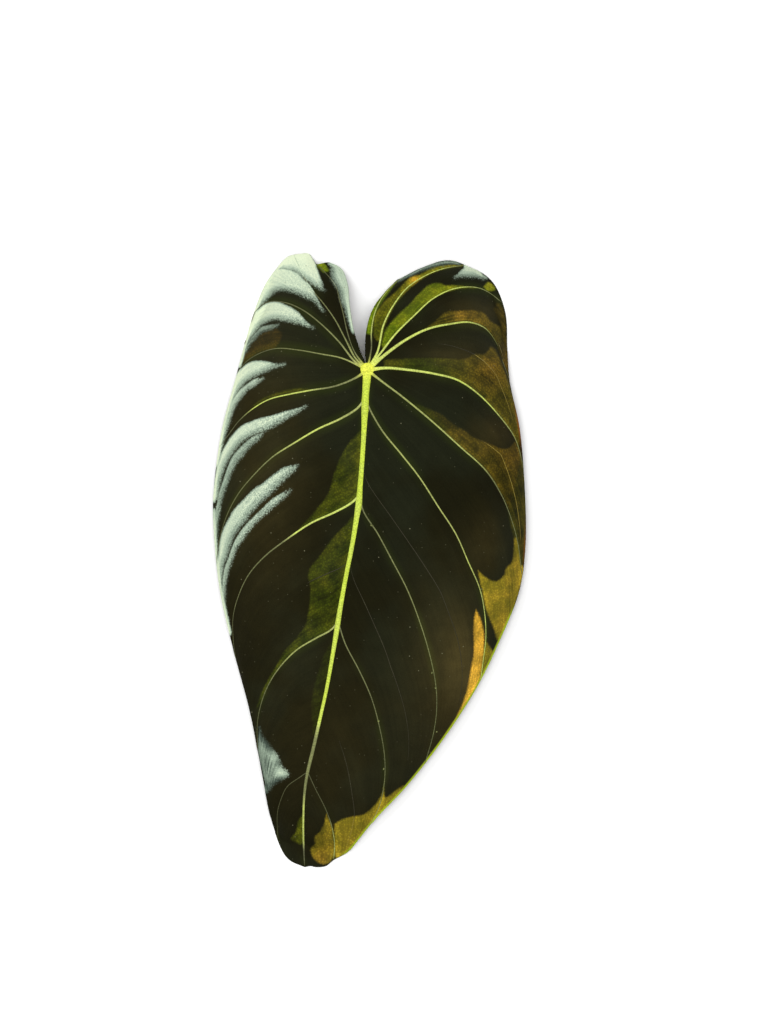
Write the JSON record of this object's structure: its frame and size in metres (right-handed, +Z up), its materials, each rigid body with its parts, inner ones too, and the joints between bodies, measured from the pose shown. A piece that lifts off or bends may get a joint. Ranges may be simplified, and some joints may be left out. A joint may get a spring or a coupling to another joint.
{
  "type": "picked philodendron melanochrysum leaf",
  "caption": "Long heart-shaped velvet leaf with pale raised veins and its stalk bent back under it, lying face up and arched on its tip and both lobes.",
  "frame": {"origin": "on the surface the leaf lies on, under the middle of its box", "axes": "+Z up, out of the leaf's upper face; +Y from the tip towards the two lobes; +X to the right, seen from above with the lobes away from the viewer"},
  "size_m": [0.1564, 0.3068, 0.0384],
  "materials": {
    "blade": "matte",
    "veins": "satin",
    "stalk": "satin"
  },
  "bodies": {
    "root": {"blade": "blade", "veins": "veins", "stalk": "stalk"}
  },
  "joints": []
}
